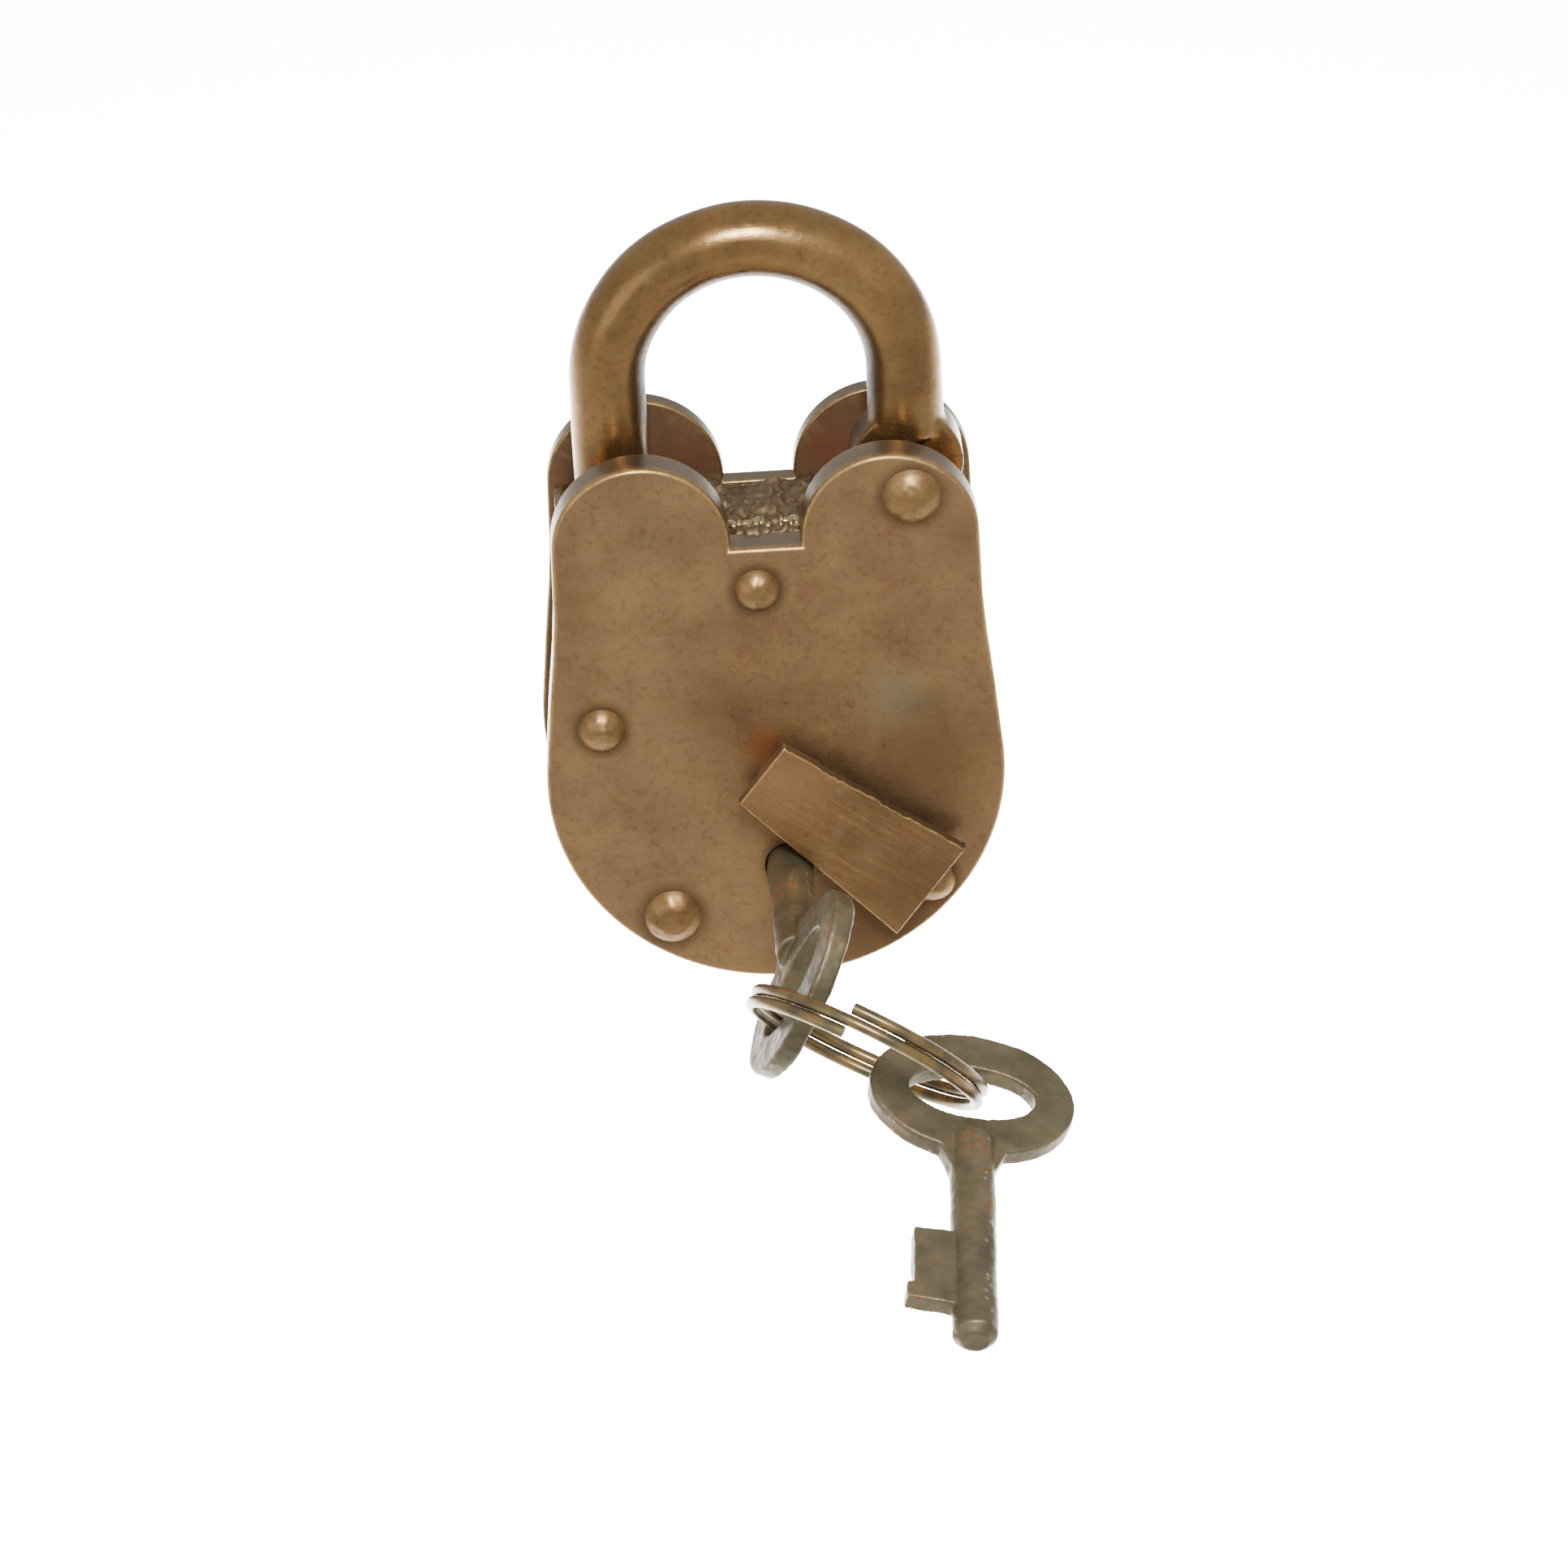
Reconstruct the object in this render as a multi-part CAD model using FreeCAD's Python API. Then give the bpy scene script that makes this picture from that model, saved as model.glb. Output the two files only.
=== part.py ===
import FreeCAD, Part
import math
import os

V = FreeCAD.Vector

# Driving dimensions in mm. Design frame: X to the right, Y from the front face into the lock,
# Z up, with Z = 0 on the floor of the notch and Y = 0 on the front face of the front plate.
BELLY_R = 28.25
BELLY_Z = -31.5
LOBE_R = 10.9
LOBE_X = 15.2
LOBE_Z = 0.8
FRONT_T = 4.5
GAP = 14.3
BACK_T = 3.0
EDGE_ROUND = 0.45
BAND_T = 1.8
BAND_INSET = 0.8
BAND_TOP_Z = 0.9

ROD_R = 4.65
LEG_X = 18.1
ARCH_Z = 18.2
PIVOT_X = 18.0
PIVOT_Z = 6.0
EYE_R = 6.9
EYE_T = 6.0
SHOULDER_Z = 9.4
TOE_SWING_R = 41.2
TOE_BOTTOM_Z = -14.5
TOE_NOTCH_X = -16.3
TOE_NOTCH_LOW = -12.35
TOE_NOTCH_HIGH = -8.05

PIVOT_SHANK_R = 2.4
RIVET_SHANK_R = 2.0
RIVET_DOME_H = 1.8
PIVOT_HEAD_R = 3.65
TOP_RIVET = (-1.3, -5.6, 2.8)
LEFT_RIVET = (-21.2, -23.7, 2.9)
LOW_LEFT_RIVET = (-13.6, -50.4, 3.65)
LOW_RIGHT_RIVET = (18.7, -47.4, 2.9)

KEY_X = 1.1
KEY_Z = -44.0
KEYHOLE_R = 3.1
KEY_SHANK_R = 2.75
KEY_THICK = 2.8
KEY_BIT_REACH = 8.35
KEY_BIT_NEAR = 5.2
KEY_BIT_LENGTH = 12.4
KEY_TIP_EXTRA = 3.1
KEY_TURN_DEG = 27.0
BOW_CENTRE_OUT = 30.2
BOW_HALF_WIDE = 12.6
BOW_HALF_LONG = 9.6
BOW_HOLE_HALF_WIDE = 7.8
BOW_HOLE_HALF_LONG = 4.1
BOW_THICK = 2.6

COVER_PIVOT = (1.1, -31.7)
COVER_T = 1.8
COVER_OFF = 2.4
COVER_CORNERS = ((1.0, -25.4), (-4.8, -32.8), (13.9, -52.4), (22.8, -40.9))

RING_R = 14.75
WIRE_R = 0.74
RING_PITCH = 1.55
RING_TURNS = 2.0
RING_START_DEG = 88.0
RING_TURN_LENGTH = 92.7
RING_CENTRE = (8.323, -41.5747, -46.536)
RING_RIGHT = (0.8535, -0.4656, -0.2341)
RING_NEAR = (-0.1977, -0.7049, 0.6812)

SPARE_CENTRE = (20.4564, -44.0431, -53.2601)
SPARE_SHANK = (-0.0579, -0.9576, -0.2824)
SPARE_ACROSS = (0.9743, 0.0076, -0.2252)
SPARE_BOW_TO_BIT = 23.0
SPARE_BIT_LENGTH = 11.6
SPARE_TIP_EXTRA = 4.6

BOLT_T = 2.5
BOLT_HEAD_X = -12.9
BOLT_TAIL_LEFT = -8.2
BOLT_TAIL_RIGHT = -4.9
BOLT_BAR_RIGHT = 7.0
BOLT_BAR_LOW = -12.0
BOLT_BAR_HIGH = -8.4

LEVER_POST = (13.0, -22.0)
LEVER_T = 1.5

# The row's origin is inside the top of the shackle's arch, half way through the lock.
MID_Y = FRONT_T + GAP / 2.0
BACK_Y = FRONT_T + GAP
REAR_Y = BACK_Y + BACK_T
ORIGIN = V(0.0, MID_Y, ARCH_Z + LEG_X - ROD_R)
LEVER_ONE_Y = MID_Y + BOLT_T / 2.0 + 0.45
LEVER_TWO_Y = LEVER_ONE_Y + LEVER_T + 0.35


def to_vec(p):
    return V(p[0], p[1], p[2])


def rod_y(x, z, r, y0, y1):
    return Part.makeCylinder(r, y1 - y0, V(x, y0, z), V(0, 1, 0))


def prism(points, y0, y1):
    # A flat piece with straight sides, drawn in X and Z and running from y0 to y1.
    loop = [V(x, y0, z) for x, z in points]
    loop.append(loop[0])
    face = Part.Face(Part.makePolygon(loop))
    return face.extrude(V(0, y1 - y0, 0))


def block(x0, x1, y0, y1, z0, z1):
    return Part.makeBox(x1 - x0, y1 - y0, z1 - z0, V(x0, y0, z0))


def body_wire(y, grow):
    # The lock's outline: notch floor, two lobes, slightly waisted sides and a round belly.
    lobe = LOBE_R + grow
    belly = BELLY_R + grow
    corner = LOBE_X - math.sqrt(lobe * lobe - LOBE_Z * LOBE_Z)
    foot_x = math.sqrt(belly * belly - 2.5 * 2.5)
    foot_z = BELLY_Z + 2.5
    side = [(LOBE_X + lobe, LOBE_Z), (26.25 + grow, -8.0), (26.6 + grow, -13.0)]
    side += [(27.35 + grow, -20.0), (foot_x, foot_z)]
    edges = [Part.makeLine(V(-corner, y, 0), V(corner, y, 0))]
    top = V(LOBE_X, y, LOBE_Z + lobe)
    edges.append(Part.Arc(V(corner, y, 0), top, V(side[0][0], y, LOBE_Z)).toShape())
    right = Part.BSplineCurve()
    down = V(0, 0, -1)
    lean = V(0.125, 0, -1)
    right.interpolate([V(x, y, z) for x, z in side], InitialTangent=down, FinalTangent=lean)
    edges.append(right.toShape())
    bottom = V(0, y, BELLY_Z - belly)
    edges.append(Part.Arc(V(foot_x, y, foot_z), bottom, V(-foot_x, y, foot_z)).toShape())
    left = Part.BSplineCurve()
    lean = V(-lean.x, 0, 1)
    points = [V(-x, y, z) for x, z in reversed(side)]
    left.interpolate(points, InitialTangent=lean, FinalTangent=V(0, 0, 1))
    edges.append(left.toShape())
    top = V(-LOBE_X, y, LOBE_Z + lobe)
    edges.append(Part.Arc(V(-side[0][0], y, LOBE_Z), top, V(-corner, y, 0)).toShape())
    return Part.Wire(edges)


def body_prism(y0, y1, grow):
    return Part.Face(body_wire(y0, grow)).extrude(V(0, y1 - y0, 0))


def outline_edges(shape, y):
    # The edges that lie in the plane at the given depth.
    found = []
    for edge in shape.Edges:
        box = edge.BoundBox
        if abs(box.YMin - y) < 1e-5 and abs(box.YMax - y) < 1e-5:
            found.append(edge)
    return found


def keyhole(y0, y1):
    # A round hole with a slot straight below it, as the key is pushed in with its bit down.
    hole = rod_y(KEY_X, KEY_Z, KEYHOLE_R, y0, y1)
    half = KEY_THICK / 2.0 + 0.35
    low = KEY_Z - KEY_BIT_REACH - 0.5
    slot = block(KEY_X - half, KEY_X + half, y0, y1, low, KEY_Z)
    return hole.fuse(slot).removeSplitter()


def rivet_places():
    return (TOP_RIVET, LEFT_RIVET, LOW_LEFT_RIVET, LOW_RIGHT_RIVET)


def make_front_plate():
    plate = body_prism(0.0, FRONT_T, 0.0)
    plate = plate.makeFillet(EDGE_ROUND, outline_edges(plate, 0.0))
    plate = plate.cut(keyhole(-1.0, FRONT_T + 1.0))
    for x, z, head in rivet_places():
        plate = plate.cut(rod_y(x, z, RIVET_SHANK_R, -1.0, FRONT_T + 1.0))
    plate = plate.cut(rod_y(PIVOT_X, PIVOT_Z, PIVOT_SHANK_R, -1.0, FRONT_T + 1.0))
    pin_hole = rod_y(COVER_PIVOT[0], COVER_PIVOT[1], 1.55, -1.0, FRONT_T + 1.0)
    return plate.cut(pin_hole)


def make_back_plate():
    plate = body_prism(BACK_Y, REAR_Y, 0.0)
    for x, z, head in rivet_places():
        plate = plate.cut(rod_y(x, z, RIVET_SHANK_R, BACK_Y - 1.0, REAR_Y + 1.0))
    plate = plate.cut(rod_y(PIVOT_X, PIVOT_Z, PIVOT_SHANK_R, BACK_Y - 1.0, REAR_Y + 1.0))
    return plate.cut(rod_y(KEY_X, KEY_Z, KEY_SHANK_R + 0.05, BACK_Y - 1.0, BACK_Y + 2.4))


def make_rim_band():
    # A strip on edge between the plates, open above, following the sides and the belly.
    y0 = FRONT_T
    y1 = BACK_Y
    outer = body_prism(y0, y1, -BAND_INSET)
    inner = body_prism(y0 - 1.0, y1 + 1.0, -BAND_INSET - BAND_T)
    band = outer.cut(inner)
    band = band.cut(block(-40, 40, y0 - 2, y1 + 2, BAND_TOP_Z, 40))
    band = band.cut(block(-20, 20, y0 - 2, y1 + 2, -12.0, 20))
    # The strip is filed hollow where the low right rivet passes close inside it.
    return band.cut(rod_y(LOW_RIGHT_RIVET[0], LOW_RIGHT_RIVET[1], RIVET_SHANK_R, y0 - 1, y1 + 1))


def make_saddle_block():
    # The rough block brazed between the plates under the notch; its ends rise with the lobes.
    y0 = FRONT_T
    y1 = BACK_Y
    points = ((-6.4, -8.05), (-6.4, 1.1), (-4.4, 0.0), (4.4, 0.0), (6.4, 1.1), (6.4, -8.05))
    saddle = prism(points, y0, y1)
    return saddle.cut(rod_y(TOP_RIVET[0], TOP_RIVET[1], RIVET_SHANK_R, y0 - 1, y1 + 1))


def make_braze_beads():
    # Beads of brazing metal left in a row along the middle of the saddle's top.
    beads = []
    for step in range(9):
        x = -3.7 + 0.93 * step
        y = MID_Y - 0.6 + 0.5 * math.sin(2.3 * step)
        r = 0.52 + 0.12 * math.sin(1.7 * step + 0.6)
        ball = Part.makeSphere(r, V(x, y, 0.08))
        beads.append(ball.cut(block(-8, 8, 0, 20, -3, 0.0)))
    return Part.makeCompound(beads)


def make_shackle():
    y = MID_Y
    leg = Part.makeCylinder(ROD_R, ARCH_Z - TOE_BOTTOM_Z, V(-LEG_X, y, TOE_BOTTOM_Z))
    arch = Part.makeTorus(LEG_X, ROD_R, V(0, y, ARCH_Z), V(0, 1, 0))
    arch = arch.common(block(-40, 40, -10, 40, ARCH_Z, 80))
    right = Part.makeCylinder(ROD_R, ARCH_Z - SHOULDER_Z, V(LEG_X, y, SHOULDER_Z))
    right = right.makeFillet(0.8, [right.Edges[2]])
    toe = rod_y(PIVOT_X, PIVOT_Z, TOE_SWING_R, y - 10, y + 10)
    low_leg = leg.common(block(-40, 0, -10, 40, TOE_BOTTOM_Z - 1, 2.0)).common(toe)
    high_leg = leg.common(block(-40, 0, -10, 40, 2.0, ARCH_Z))
    body = low_leg.fuse([high_leg, arch, right])
    eye = rod_y(PIVOT_X, PIVOT_Z, EYE_R, y - EYE_T / 2.0, y + EYE_T / 2.0)
    neck = block(LEG_X - 4.3, LEG_X + 4.3, y - EYE_T / 2.0, y + EYE_T / 2.0, PIVOT_Z, SHOULDER_Z + 2)
    rod = Part.makeCylinder(ROD_R, 10, V(LEG_X, y, PIVOT_Z))
    body = body.fuse([eye, neck.common(rod)]).removeSplitter()
    notch = block(TOE_NOTCH_X, 0, y - 1.7, y + 1.7, TOE_NOTCH_LOW, TOE_NOTCH_HIGH)
    body = body.cut(notch)
    return body.cut(rod_y(PIVOT_X, PIVOT_Z, PIVOT_SHANK_R + 0.05, y - 10, y + 10))


def dome(x, z, r, height):
    # A hammered rivet head: a spherical cap standing on the front face.
    ball_r = (r * r + height * height) / (2.0 * height)
    ball = Part.makeSphere(ball_r, V(x, ball_r - height, z))
    cap = ball.common(block(x - 9, x + 9, -height - 1, 0, z - 9, z + 9))
    return cap


def make_rivet(x, z, head, shank, height):
    head_cap = dome(x, z, head, height)
    return head_cap.fuse(rod_y(x, z, shank, 0, REAR_Y)).removeSplitter()


def make_low_left_rivet():
    x, z, head = LOW_LEFT_RIVET
    rivet = make_rivet(x, z, head, RIVET_SHANK_R, 2.3)
    return rivet.cut(block(x - 9, x + 9, -4, -1.9, z - 9, z + 9))


def make_pivot_spacers():
    y_eye0 = MID_Y - EYE_T / 2.0
    y_eye1 = MID_Y + EYE_T / 2.0
    front = rod_y(PIVOT_X, PIVOT_Z, 3.2, FRONT_T, y_eye0 - 0.3)
    back = rod_y(PIVOT_X, PIVOT_Z, 3.2, y_eye1 + 0.3, BACK_Y)
    bore = rod_y(PIVOT_X, PIVOT_Z, PIVOT_SHANK_R, 0, REAR_Y)
    return Part.makeCompound([front.cut(bore), back.cut(bore)])


def make_cover():
    y0 = -COVER_OFF - COVER_T
    plate = prism(COVER_CORNERS, y0, -COVER_OFF)
    return plate.cut(rod_y(COVER_PIVOT[0], COVER_PIVOT[1], 1.5, y0 - 1, 0))


def make_cover_pin():
    # A pin brazed flush into the cover; its inner end is spread over the back of the plate.
    x, z = COVER_PIVOT
    shank = rod_y(x, z, 1.5, -COVER_OFF - COVER_T, FRONT_T + 1.1)
    return shank.fuse(rod_y(x, z, 2.6, FRONT_T + 0.3, FRONT_T + 1.1)).removeSplitter()


def make_cover_collar():
    x, z = COVER_PIVOT
    return rod_y(x, z, 3.0, -COVER_OFF + 0.3, 0).cut(rod_y(x, z, 1.56, -5, 1))


def ellipse_bar(half_u, half_v, thick):
    # An oval slab lying in the XY plane, centred on the origin.
    if half_u > half_v:
        curve = Part.Ellipse(V(0, 0, 0), half_u, half_v)
        face = Part.Face(Part.Wire([curve.toShape()]))
    else:
        curve = Part.Ellipse(V(0, 0, 0), half_v, half_u)
        face = Part.Face(Part.Wire([curve.toShape()]))
        face.rotate(V(0, 0, 0), V(0, 0, 1), 90)
    face.translate(V(0, 0, -thick / 2.0))
    return face.extrude(V(0, 0, thick))


def make_key_blank(bow_to_bit, bit_length, tip_extra):
    # Own frame: shank along +X from the bow's centre, bit towards -Y, plate thickness along Z.
    bow = ellipse_bar(BOW_HALF_LONG, BOW_HALF_WIDE, BOW_THICK)
    bow = bow.makeFillet(0.4, bow.Edges)
    hole = ellipse_bar(BOW_HOLE_HALF_LONG, BOW_HOLE_HALF_WIDE, 9.0)
    end = bow_to_bit + bit_length + tip_extra
    shank = Part.makeCylinder(KEY_SHANK_R, end - 7.2, V(7.2, 0, 0), V(1, 0, 0))
    nose = Part.makeCone(KEY_SHANK_R + 1.2, 1.0, 2.8, V(end - 2.2, 0, 0), V(1, 0, 0))
    body = Part.makeCylinder(KEY_SHANK_R, end - 2.0 - 7.2, V(7.2, 0, 0), V(1, 0, 0))
    shank = body.fuse(shank.common(nose))
    root = [V(7.6, -4.6, 0), V(12.4, -2.6, 0), V(12.4, 2.6, 0), V(7.6, 4.6, 0), V(7.6, -4.6, 0)]
    root = Part.Face(Part.makePolygon(root))
    root.translate(V(0, 0, -BOW_THICK / 2.0 + 0.05))
    root = root.extrude(V(0, 0, BOW_THICK - 0.1))
    x0 = bow_to_bit
    x1 = bow_to_bit + bit_length
    step = KEY_BIT_REACH - 0.9
    loop = [V(x0, 0, 0), V(x0, -step, 0), V(x1 - 2.8, -step, 0), V(x1 - 2.8, -KEY_BIT_REACH, 0)]
    loop += [V(x1 - 0.4, -KEY_BIT_REACH, 0), V(x1 + 0.0, 0, 0), V(x0, 0, 0)]
    bit = Part.Face(Part.makePolygon(loop))
    bit.translate(V(0, 0, -KEY_THICK / 2.0 + 0.15))
    bit = bit.extrude(V(0, 0, KEY_THICK - 0.3))
    key = bow.fuse([root, shank, bit])
    return key.cut(hole).removeSplitter()


def put_in_axes(shape, origin, ax, ay):
    # Carry a piece from its own frame to the given origin, its X along ax and its Y along ay.
    ax = V(ax)
    ax.normalize()
    az = ax.cross(V(ay))
    az.normalize()
    ay = az.cross(ax)
    m = FreeCAD.Matrix(ax.x, ay.x, az.x, origin.x, ax.y, ay.y, az.y, origin.y,
                       ax.z, ay.z, az.z, origin.z, 0, 0, 0, 1)
    moved = shape.copy()
    moved.Placement = FreeCAD.Placement(m).multiply(moved.Placement)
    return moved


def key_across():
    # The direction across the bow of the key in the lock, from its bit side to the other.
    turn = math.radians(KEY_TURN_DEG)
    return V(math.sin(turn), 0, math.cos(turn))


def make_key_in_lock():
    key = make_key_blank(BOW_CENTRE_OUT + KEY_BIT_NEAR, KEY_BIT_LENGTH, KEY_TIP_EXTRA)
    return put_in_axes(key, V(KEY_X, -BOW_CENTRE_OUT, KEY_Z), V(0, 1, 0), key_across())


def make_split_ring():
    # Two turns of round wire, an even left-handed coil with its first end at the start angle.
    # The coil is swept in quarter turns that meet end to end.
    right = to_vec(RING_RIGHT)
    near = to_vec(RING_NEAR)
    near = near.sub(V(right).multiply(right.dot(near) / right.dot(right)))
    height = RING_PITCH * RING_TURNS
    slope = RING_PITCH / RING_TURN_LENGTH
    quarters = []
    for step in range(int(RING_TURNS * 4)):
        helix = Part.makeHelix(RING_PITCH, RING_PITCH / 4.0, RING_R)
        profile = Part.Wire([Part.makeCircle(WIRE_R, V(RING_R, 0, 0), V(0, 1, slope))])
        piece = Part.Wire(helix).makePipeShell([profile], True, True)
        piece.rotate(V(0, 0, 0), V(0, 0, 1), 90.0 * step)
        piece.translate(V(0, 0, RING_PITCH * step / 4.0 - height / 2.0))
        quarters.append(piece)
    coil = quarters[0].fuse(quarters[1:])
    coil = coil.mirror(V(0, 0, 0), V(0, 0, 1))
    coil.rotate(V(0, 0, 0), V(0, 0, 1), RING_START_DEG)
    return put_in_axes(coil, to_vec(RING_CENTRE), right, near)


def make_spare_key():
    key = make_key_blank(SPARE_BOW_TO_BIT, SPARE_BIT_LENGTH, SPARE_TIP_EXTRA)
    return put_in_axes(key, to_vec(SPARE_CENTRE), to_vec(SPARE_SHANK), to_vec(SPARE_ACROSS))


def make_bolt():
    # A flat bolt: its head enters the notch in the toe, its tail passes beside the key.
    y0 = MID_Y - BOLT_T / 2.0
    y1 = MID_Y + BOLT_T / 2.0
    points = ((BOLT_HEAD_X, BOLT_BAR_HIGH), (BOLT_BAR_RIGHT, BOLT_BAR_HIGH),
              (BOLT_BAR_RIGHT, BOLT_BAR_LOW), (BOLT_TAIL_RIGHT, BOLT_BAR_LOW),
              (BOLT_TAIL_RIGHT, -52.8), (3.4, -52.8), (3.4, -50.6), (6.2, -50.6),
              (6.2, -54.6), (-6.4, -54.6), (BOLT_TAIL_LEFT, -52.9),
              (BOLT_TAIL_LEFT, BOLT_BAR_LOW), (BOLT_HEAD_X, BOLT_BAR_LOW))
    return prism(points, y0, y1)


def make_guide_posts():
    low = BOLT_BAR_LOW - 0.3
    posts = []
    for x in (-0.4, 4.4):
        posts.append(rod_y(x, low - 1.6, 1.6, FRONT_T, BACK_Y))
    return Part.makeCompound(posts)


def make_lever(y0, notch):
    # A flat lever: a round eye on the post and an arm that reaches over the key.
    x, z = LEVER_POST
    eye = rod_y(x, z, 4.4, y0, y0 + LEVER_T)
    arm = prism(((x + 1, z + 3.6), (-3.0, z - 2.6), (-3.0, z - 12.0), (x - 1, z - 12.0),
                 (x + 4.0, z - 2)), y0, y0 + LEVER_T)
    lever = eye.fuse(arm)
    lever = lever.cut(rod_y(KEY_X, KEY_Z, KEY_BIT_REACH + 0.8 + notch, y0 - 1, y0 + 3))
    lever = lever.cut(rod_y(x, z, 2.05, y0 - 1, y0 + 3))
    return lever.removeSplitter()


def make_lever_post():
    x, z = LEVER_POST
    return rod_y(x, z, 2.0, MID_Y + 0.9, BACK_Y)


def make_lever_springs():
    # One thin bent strip per lever, from a corner of the case down onto the lever's arm.
    strips = []
    for y0 in (LEVER_ONE_Y, LEVER_TWO_Y):
        points = ((-2.0, -24.0), (6.0, -17.5), (17.0, -15.0), (17.0, -14.6), (5.9, -17.05),
                  (-2.3, -23.7))
        strips.append(prism(points, y0 + 0.3, y0 + LEVER_T - 0.3))
    return Part.makeCompound(strips)


def save(name, shape):
    placed = shape.copy()
    placed.translate(V(-ORIGIN.x, -ORIGIN.y, -ORIGIN.z))
    placed.exportStep("parts/" + name + ".step")
    solids = len(placed.Solids)
    print(name, solids, round(placed.Volume, 1), placed.isValid())


def main():
    os.makedirs("parts", exist_ok=True)
    save("front_plate", make_front_plate())
    save("back_plate", make_back_plate())
    save("rim_band", make_rim_band())
    save("saddle_block", make_saddle_block())
    save("braze_beads", make_braze_beads())
    save("shackle", make_shackle())
    save("pivot_rivet", make_rivet(PIVOT_X, PIVOT_Z, PIVOT_HEAD_R, PIVOT_SHANK_R, RIVET_DOME_H))
    save("top_rivet", make_rivet(*TOP_RIVET, RIVET_SHANK_R, RIVET_DOME_H - 0.2))
    save("left_rivet", make_rivet(*LEFT_RIVET, RIVET_SHANK_R, RIVET_DOME_H - 0.2))
    save("low_left_rivet", make_low_left_rivet())
    save("low_right_rivet", make_rivet(*LOW_RIGHT_RIVET, RIVET_SHANK_R, RIVET_DOME_H - 0.2))
    save("pivot_spacers", make_pivot_spacers())
    save("keyhole_cover", make_cover())
    save("cover_pin", make_cover_pin())
    save("cover_collar", make_cover_collar())
    save("bolt", make_bolt())
    save("guide_posts", make_guide_posts())
    save("lever_one", make_lever(LEVER_ONE_Y, 0.0))
    save("lever_two", make_lever(LEVER_TWO_Y, 0.6))
    save("lever_post", make_lever_post())
    save("lever_springs", make_lever_springs())
    save("key_in_lock", make_key_in_lock())
    save("split_ring", make_split_ring())
    save("spare_key", make_spare_key())


main()
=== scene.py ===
import math
import bmesh
import bpy
from mathutils import Matrix, Vector, noise


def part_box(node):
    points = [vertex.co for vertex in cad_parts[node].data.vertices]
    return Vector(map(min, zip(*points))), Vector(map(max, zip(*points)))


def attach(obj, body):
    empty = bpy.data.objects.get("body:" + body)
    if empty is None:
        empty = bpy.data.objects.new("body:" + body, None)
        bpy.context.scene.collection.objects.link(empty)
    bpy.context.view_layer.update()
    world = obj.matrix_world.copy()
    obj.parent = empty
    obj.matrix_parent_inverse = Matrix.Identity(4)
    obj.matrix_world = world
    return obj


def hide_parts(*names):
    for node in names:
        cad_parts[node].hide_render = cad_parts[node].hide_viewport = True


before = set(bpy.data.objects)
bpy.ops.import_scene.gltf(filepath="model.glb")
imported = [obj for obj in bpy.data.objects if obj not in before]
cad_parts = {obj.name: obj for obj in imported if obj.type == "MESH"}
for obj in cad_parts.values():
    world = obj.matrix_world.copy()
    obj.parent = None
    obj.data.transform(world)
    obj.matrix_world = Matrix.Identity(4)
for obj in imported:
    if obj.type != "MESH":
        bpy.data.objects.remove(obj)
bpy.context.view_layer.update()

# ---------------------------------------------------------------------------------------------
# Front plate: thick steel sheet sawn to a belly, two lobes and a notch, its face edge filed
# round. Brushed, then plated antique bronze. The rivets hold it to the parts behind it.
# All sizes are in millimetres. Outline points are right of the middle and above the notch.
MM = 0.001
LOBE_R, LOBE_X, LOBE_Z = 10.9, 15.2, 0.8
BELLY_R, BELLY_Z = 28.25, -31.5
SIDE = ((26.25, -8.0), (26.6, -13.0), (27.35, -20.0))
BELLY_TOP = 2.5
FRONT_T, GAP, BACK_T = 4.5, 14.3, 3.0
KEYHOLE = (1.1, -44.0)
KEYHOLE_R = 3.1
SLOT_HALF, SLOT_LOW = 1.75, -52.85
plate_low, plate_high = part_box("front_plate")
NOTCH = Vector((0.0, plate_low.y, plate_high.z - (LOBE_Z + LOBE_R) * MM))


def at(x, y, z):
    """A point from millimetres right of the middle, behind the front face and above the notch."""
    return NOTCH + Vector((x, y, z)) * MM


def linear(hex_colour):
    """An sRGB hex colour as the linear colour that a shader takes."""
    parts = [int(hex_colour[i:i + 2], 16) / 255 for i in (1, 3, 5)]
    return [c / 12.92 if c <= 0.04045 else ((c + 0.055) / 1.055) ** 2.4 for c in parts] + [1.0]


def add(tree, kind, links=None, **settings):
    """Adds a node, sets its settings, and links or sets the inputs named or numbered in links."""
    node = tree.nodes.new(kind)
    for key, value in settings.items():
        setattr(node, key, value)
    for socket, value in (links or {}).items():
        if isinstance(value, bpy.types.NodeSocket):
            tree.links.new(value, node.inputs[socket])
        else:
            node.inputs[socket].default_value = value
    return node


def start_material(name):
    """A new material with its node tree, shader and the piece's own coordinates."""
    material = bpy.data.materials.new(name)
    material.use_nodes = True
    tree = material.node_tree
    shader = tree.nodes["Principled BSDF"]
    where = add(tree, "ShaderNodeTexCoord").outputs["Object"]
    return material, tree, shader, where


def patch(tree, where, centre, inner, outer, ragged, breakup):
    """A mask that is 1 within inner mm of a place and fades to 0 at outer mm, with a ragged edge."""
    reach = add(tree, "ShaderNodeVectorMath", {0: where, 1: at(*centre)}, operation="DISTANCE")
    rough_edge = add(tree, "ShaderNodeMath", {0: breakup, 1: ragged * MM}, operation="MULTIPLY")
    total = add(tree, "ShaderNodeMath", {0: reach.outputs["Value"], 1: rough_edge.outputs[0]})
    mask = add(tree, "ShaderNodeMapRange", {0: total.outputs[0], 1: inner * MM, 2: outer * MM,
                                            3: 1.0, 4: 0.0}, interpolation_type="SMOOTHSTEP")
    return mask.outputs[0]


def tint(tree, colour, amount, target):
    """Mixes a colour into another by an amount, and returns the new colour."""
    mixed = add(tree, "ShaderNodeMix", {0: amount, 6: colour, 7: linear(target)}, data_type="RGBA")
    return mixed.outputs[2]


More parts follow.
